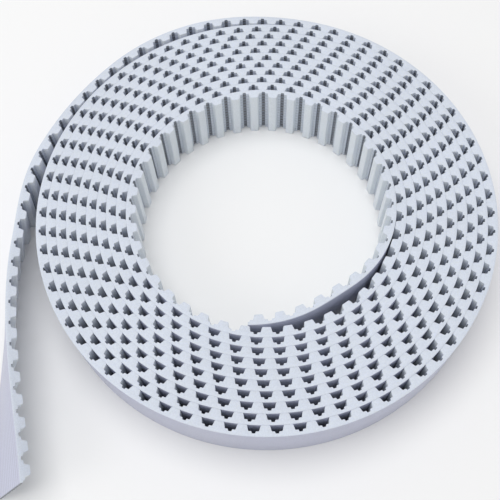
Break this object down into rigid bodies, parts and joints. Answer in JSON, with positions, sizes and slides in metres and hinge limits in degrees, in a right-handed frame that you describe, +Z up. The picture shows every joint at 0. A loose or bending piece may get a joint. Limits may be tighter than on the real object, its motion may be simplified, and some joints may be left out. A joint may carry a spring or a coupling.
{
  "type": "timing belt",
  "caption": "Open-ended toothed timing belt of white polyurethane with steel tension cords, wound in a flat spiral roll with a loose twisted tail.",
  "frame": {"origin": "on the axis of the wound roll, in the plane of its lower slit edge", "axes": "+Z up along the roll's axis, through its eye; the tail leaves the roll at -X and runs towards -Y"},
  "size_m": [0.2388, 0.2392, 0.0323],
  "materials": {
    "polyurethane": "white, slightly translucent thermoplastic polyurethane with a fine satin surface and slit edges",
    "steel_cord": "stranded zinc-plated steel cord"
  },
  "bodies": {
    "roll": {"belt_wrap_01": "polyurethane", "belt_wrap_02": "polyurethane", "belt_wrap_03": "polyurethane", "belt_wrap_04": "polyurethane", "belt_wrap_05": "polyurethane", "belt_wrap_06": "polyurethane", "belt_wrap_07": "polyurethane", "belt_wrap_08": "polyurethane", "belt_wrap_09": "polyurethane", "belt_wrap_10": "polyurethane", "belt_wrap_11": "polyurethane", "tension_cord_01": "steel_cord", "tension_cord_02": "steel_cord", "tension_cord_03": "steel_cord", "tension_cord_04": "steel_cord", "tension_cord_05": "steel_cord", "tension_cord_06": "steel_cord", "tension_cord_07": "steel_cord", "tension_cord_08": "steel_cord", "tension_cord_09": "steel_cord", "tension_cord_10": "steel_cord", "tension_cord_11": "steel_cord", "tension_cord_12": "steel_cord"},
    "inner_end_section_1": {"inner_end_section_1": "polyurethane", "inner_end_section_1_cords": "steel_cord"},
    "inner_end_section_2": {"inner_end_section_2": "polyurethane", "inner_end_section_2_cords": "steel_cord"},
    "inner_end_section_3": {"inner_end_section_3": "polyurethane", "inner_end_section_3_cords": "steel_cord"},
    "tail_section_1": {"tail_section_1": "polyurethane", "tail_section_1_cords": "steel_cord"},
    "tail_section_2": {"tail_section_2": "polyurethane", "tail_section_2_cords": "steel_cord"},
    "tail_section_3": {"tail_section_3": "polyurethane", "tail_section_3_cords": "steel_cord"},
    "tail_section_4": {"tail_section_4": "polyurethane", "tail_section_4_cords": "steel_cord"},
    "tail_section_5": {"tail_section_5": "polyurethane", "tail_section_5_cords": "steel_cord"},
    "tail_section_6": {"tail_section_6": "polyurethane", "tail_section_6_cords": "steel_cord"},
    "tail_section_7": {"tail_section_7": "polyurethane", "tail_section_7_cords": "steel_cord"},
    "tail_section_8": {"tail_section_8": "polyurethane", "tail_section_8_cords": "steel_cord"}
  },
  "joints": [
    {"name": "inner_end_bend_3", "type": "hinge", "parent": "roll", "child": "inner_end_section_3", "pos_m": [0.06231, -0.00355, 0.016], "axis": [0, 0, 1], "range_deg": [-26, 0], "stiffness_Nm_per_rad": 0.25},
    {"name": "inner_end_bend_2", "type": "hinge", "parent": "inner_end_section_3", "child": "inner_end_section_2", "pos_m": [0.05195, -0.03124, 0.016], "axis": [0, 0, 1], "range_deg": [-26, 0], "stiffness_Nm_per_rad": 0.25},
    {"name": "inner_end_bend_1", "type": "hinge", "parent": "inner_end_section_2", "child": "inner_end_section_1", "pos_m": [0.02849, -0.04958, 0.016], "axis": [0, 0, 1], "range_deg": [-26, 0], "stiffness_Nm_per_rad": 0.25},
    {"name": "tail_bend_1", "type": "hinge", "parent": "roll", "child": "tail_section_1", "pos_m": [-0.11066, 0.03269, 0.016], "axis": [0, 0, 1], "range_deg": [-16, 2], "stiffness_Nm_per_rad": 0.25},
    {"name": "tail_bend_2", "type": "hinge", "parent": "tail_section_1", "child": "tail_section_2", "pos_m": [-0.11718, 0.01379, 0.01625], "axis": [0.0887, -0.0243, 0.9958], "range_deg": [-22, 3], "stiffness_Nm_per_rad": 0.25},
    {"name": "tail_bend_3", "type": "hinge", "parent": "tail_section_2", "child": "tail_section_3", "pos_m": [-0.12121, -0.00578, 0.01638], "axis": [0.2302, -0.0321, 0.9726], "range_deg": [-22, 3.5], "stiffness_Nm_per_rad": 0.25},
    {"name": "tail_twist_4", "type": "hinge", "parent": "tail_section_3", "child": "tail_section_4", "pos_m": [-0.12269, -0.02571, 0.01636], "axis": [-0.0092, -1, 0], "range_deg": [-12, 20], "stiffness_Nm_per_rad": 0.25},
    {"name": "tail_bend_5", "type": "hinge", "parent": "tail_section_4", "child": "tail_section_5", "pos_m": [-0.12203, -0.0457, 0.01635], "axis": [0.2688, 0.0143, 0.9631], "range_deg": [-22, 5], "stiffness_Nm_per_rad": 0.25},
    {"name": "tail_bend_6", "type": "hinge", "parent": "tail_section_5", "child": "tail_section_6", "pos_m": [-0.12066, -0.06565, 0.01624], "axis": [0.3354, 0.0283, 0.9417], "range_deg": [-22, 5], "stiffness_Nm_per_rad": 0.25},
    {"name": "tail_twist_7", "type": "hinge", "parent": "tail_section_6", "child": "tail_section_7", "pos_m": [-0.11867, -0.08555, 0.01595], "axis": [0.1149, -0.9934, 0], "range_deg": [-12, 20], "stiffness_Nm_per_rad": 0.25},
    {"name": "tail_bend_8", "type": "hinge", "parent": "tail_section_7", "child": "tail_section_8", "pos_m": [-0.11606, -0.10538, 0.01554], "axis": [0.5055, 0.0744, 0.8596], "range_deg": [-22, 5], "stiffness_Nm_per_rad": 0.25}
  ]
}
